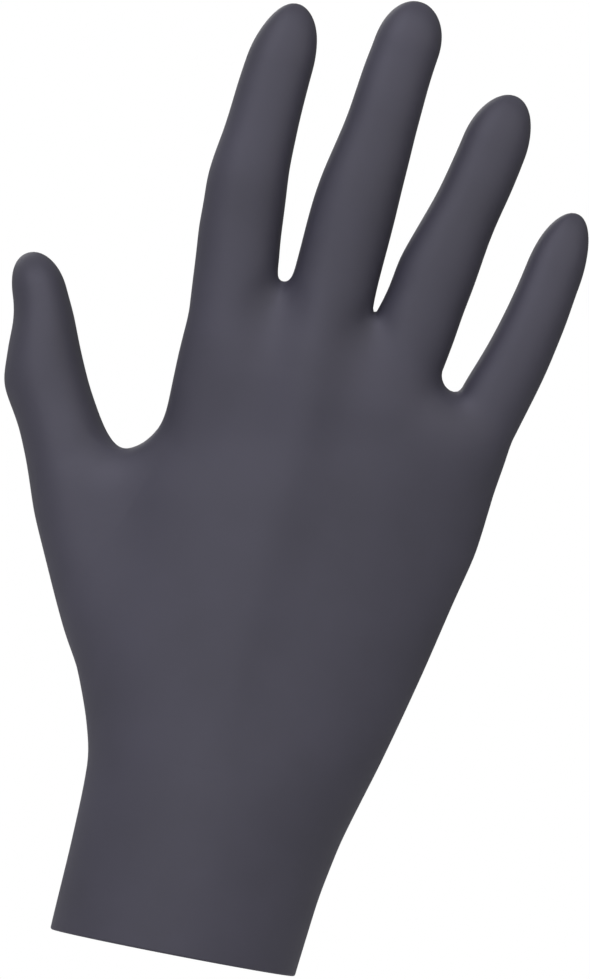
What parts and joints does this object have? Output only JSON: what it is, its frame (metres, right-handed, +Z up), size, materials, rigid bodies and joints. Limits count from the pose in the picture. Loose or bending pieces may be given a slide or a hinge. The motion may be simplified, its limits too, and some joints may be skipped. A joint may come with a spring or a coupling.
{
  "type": "disposable glove",
  "caption": "Thin dipped rubber glove in its worn shape, open at a beaded cuff, divided into zones that bend at the wrist, fingers and thumb",
  "frame": {"origin": "centre of the cuff's opening, on the plane of its edge", "axes": "+Z up the forearm to the fingertips, +X to the little finger, +Y to the palm side"},
  "size_m": [0.1369, 0.0491, 0.24],
  "materials": {
    "film": "satin dipped nitrile film, dark grey with a faint violet tint",
    "bead": "satin rolled bead of the same film"
  },
  "bodies": {
    "cuff": {"cuff_bead": "bead", "cuff": "film", "wrist_fold": "film"},
    "hand": {"hand": "film", "index_finger_root_fold": "film", "middle_finger_root_fold": "film", "ring_finger_root_fold": "film", "little_finger_root_fold": "film", "thumb_base_fold": "film"},
    "index_finger_lower_section": {"index_finger_lower_section": "film", "index_finger_middle_fold": "film"},
    "index_finger_middle_section": {"index_finger_middle_section": "film", "index_finger_end_fold": "film"},
    "index_finger_tip": {"index_finger_tip": "film"},
    "middle_finger_lower_section": {"middle_finger_lower_section": "film", "middle_finger_middle_fold": "film"},
    "middle_finger_middle_section": {"middle_finger_middle_section": "film", "middle_finger_end_fold": "film"},
    "middle_finger_tip": {"middle_finger_tip": "film"},
    "ring_finger_lower_section": {"ring_finger_lower_section": "film", "ring_finger_middle_fold": "film"},
    "ring_finger_middle_section": {"ring_finger_middle_section": "film", "ring_finger_end_fold": "film"},
    "ring_finger_tip": {"ring_finger_tip": "film"},
    "little_finger_lower_section": {"little_finger_lower_section": "film", "little_finger_middle_fold": "film"},
    "little_finger_middle_section": {"little_finger_middle_section": "film", "little_finger_end_fold": "film"},
    "little_finger_tip": {"little_finger_tip": "film"},
    "thumb_lower_section": {"thumb_lower_section": "film", "thumb_middle_fold": "film"},
    "thumb_tip": {"thumb_tip": "film"}
  },
  "joints": [
    {"name": "wrist", "type": "hinge", "parent": "cuff", "child": "hand", "pos_m": [0.0035, 0, 0.038], "axis": [-1, 0, 0], "range_deg": [-25, 25], "stiffness_Nm_per_rad": 0.05, "deforming": ["wrist_fold"]},
    {"name": "index_finger_root", "type": "hinge", "parent": "hand", "child": "index_finger_lower_section", "pos_m": [-0.0166, 0, 0.17399], "axis": [-0.9995, 0, 0.033], "range_deg": [0, 60], "stiffness_Nm_per_rad": 0.006, "deforming": ["index_finger_root_fold"]},
    {"name": "index_finger_middle", "type": "hinge", "parent": "index_finger_lower_section", "child": "index_finger_middle_section", "pos_m": [-0.01604, 0, 0.19098], "axis": [-0.9995, 0, 0.033], "range_deg": [0, 80], "stiffness_Nm_per_rad": 0.004, "deforming": ["index_finger_middle_fold"]},
    {"name": "index_finger_end", "type": "hinge", "parent": "index_finger_middle_section", "child": "index_finger_tip", "pos_m": [-0.01538, 0, 0.21097], "axis": [-0.9995, 0, 0.033], "range_deg": [0, 45], "stiffness_Nm_per_rad": 0.004, "deforming": ["index_finger_end_fold"]},
    {"name": "middle_finger_root", "type": "hinge", "parent": "hand", "child": "middle_finger_lower_section", "pos_m": [0.00924, -0.0015, 0.17396], "axis": [-0.9963, 0, 0.0865], "range_deg": [0, 60], "stiffness_Nm_per_rad": 0.006, "deforming": ["middle_finger_root_fold"]},
    {"name": "middle_finger_middle", "type": "hinge", "parent": "middle_finger_lower_section", "child": "middle_finger_middle_section", "pos_m": [0.01071, -0.0015, 0.19089], "axis": [-0.9963, 0, 0.0865], "range_deg": [0, 80], "stiffness_Nm_per_rad": 0.004, "deforming": ["middle_finger_middle_fold"]},
    {"name": "middle_finger_end", "type": "hinge", "parent": "middle_finger_middle_section", "child": "middle_finger_tip", "pos_m": [0.01279, -0.0015, 0.2148], "axis": [-0.9963, 0, 0.0865], "range_deg": [0, 45], "stiffness_Nm_per_rad": 0.004, "deforming": ["middle_finger_end_fold"]},
    {"name": "ring_finger_root", "type": "hinge", "parent": "hand", "child": "ring_finger_lower_section", "pos_m": [0.03156, 0, 0.16881], "axis": [-0.9824, 0, 0.1868], "range_deg": [0, 55], "stiffness_Nm_per_rad": 0.006, "deforming": ["ring_finger_root_fold"]},
    {"name": "ring_finger_middle", "type": "hinge", "parent": "ring_finger_lower_section", "child": "ring_finger_middle_section", "pos_m": [0.03417, 0, 0.18256], "axis": [-0.9824, 0, 0.1868], "range_deg": [0, 75], "stiffness_Nm_per_rad": 0.004, "deforming": ["ring_finger_middle_fold"]},
    {"name": "ring_finger_end", "type": "hinge", "parent": "ring_finger_middle_section", "child": "ring_finger_tip", "pos_m": [0.03753, 0, 0.20024], "axis": [-0.9824, 0, 0.1868], "range_deg": [0, 45], "stiffness_Nm_per_rad": 0.004, "deforming": ["ring_finger_end_fold"]},
    {"name": "little_finger_root", "type": "hinge", "parent": "hand", "child": "little_finger_lower_section", "pos_m": [0.05145, 0.002, 0.15376], "axis": [-0.9699, 0, 0.2434], "range_deg": [0, 55], "stiffness_Nm_per_rad": 0.006, "deforming": ["little_finger_root_fold"]},
    {"name": "little_finger_middle", "type": "hinge", "parent": "little_finger_lower_section", "child": "little_finger_middle_section", "pos_m": [0.05449, 0.002, 0.16588], "axis": [-0.9699, 0, 0.2434], "range_deg": [0, 75], "stiffness_Nm_per_rad": 0.004, "deforming": ["little_finger_middle_fold"]},
    {"name": "little_finger_end", "type": "hinge", "parent": "little_finger_middle_section", "child": "little_finger_tip", "pos_m": [0.05802, 0.002, 0.17995], "axis": [-0.9699, 0, 0.2434], "range_deg": [0, 45], "stiffness_Nm_per_rad": 0.004, "deforming": ["little_finger_end_fold"]},
    {"name": "thumb_base", "type": "hinge", "parent": "hand", "child": "thumb_lower_section", "pos_m": [-0.05208, 0.01313, 0.12105], "axis": [-0.4237, 0.8527, -0.3055], "range_deg": [0, 40], "stiffness_Nm_per_rad": 0.006, "deforming": ["thumb_base_fold"]},
    {"name": "thumb_middle", "type": "hinge", "parent": "thumb_lower_section", "child": "thumb_tip", "pos_m": [-0.05704, 0.01584, 0.13549], "axis": [-0.4237, 0.8527, -0.3055], "range_deg": [0, 60], "stiffness_Nm_per_rad": 0.004, "deforming": ["thumb_middle_fold"]}
  ]
}
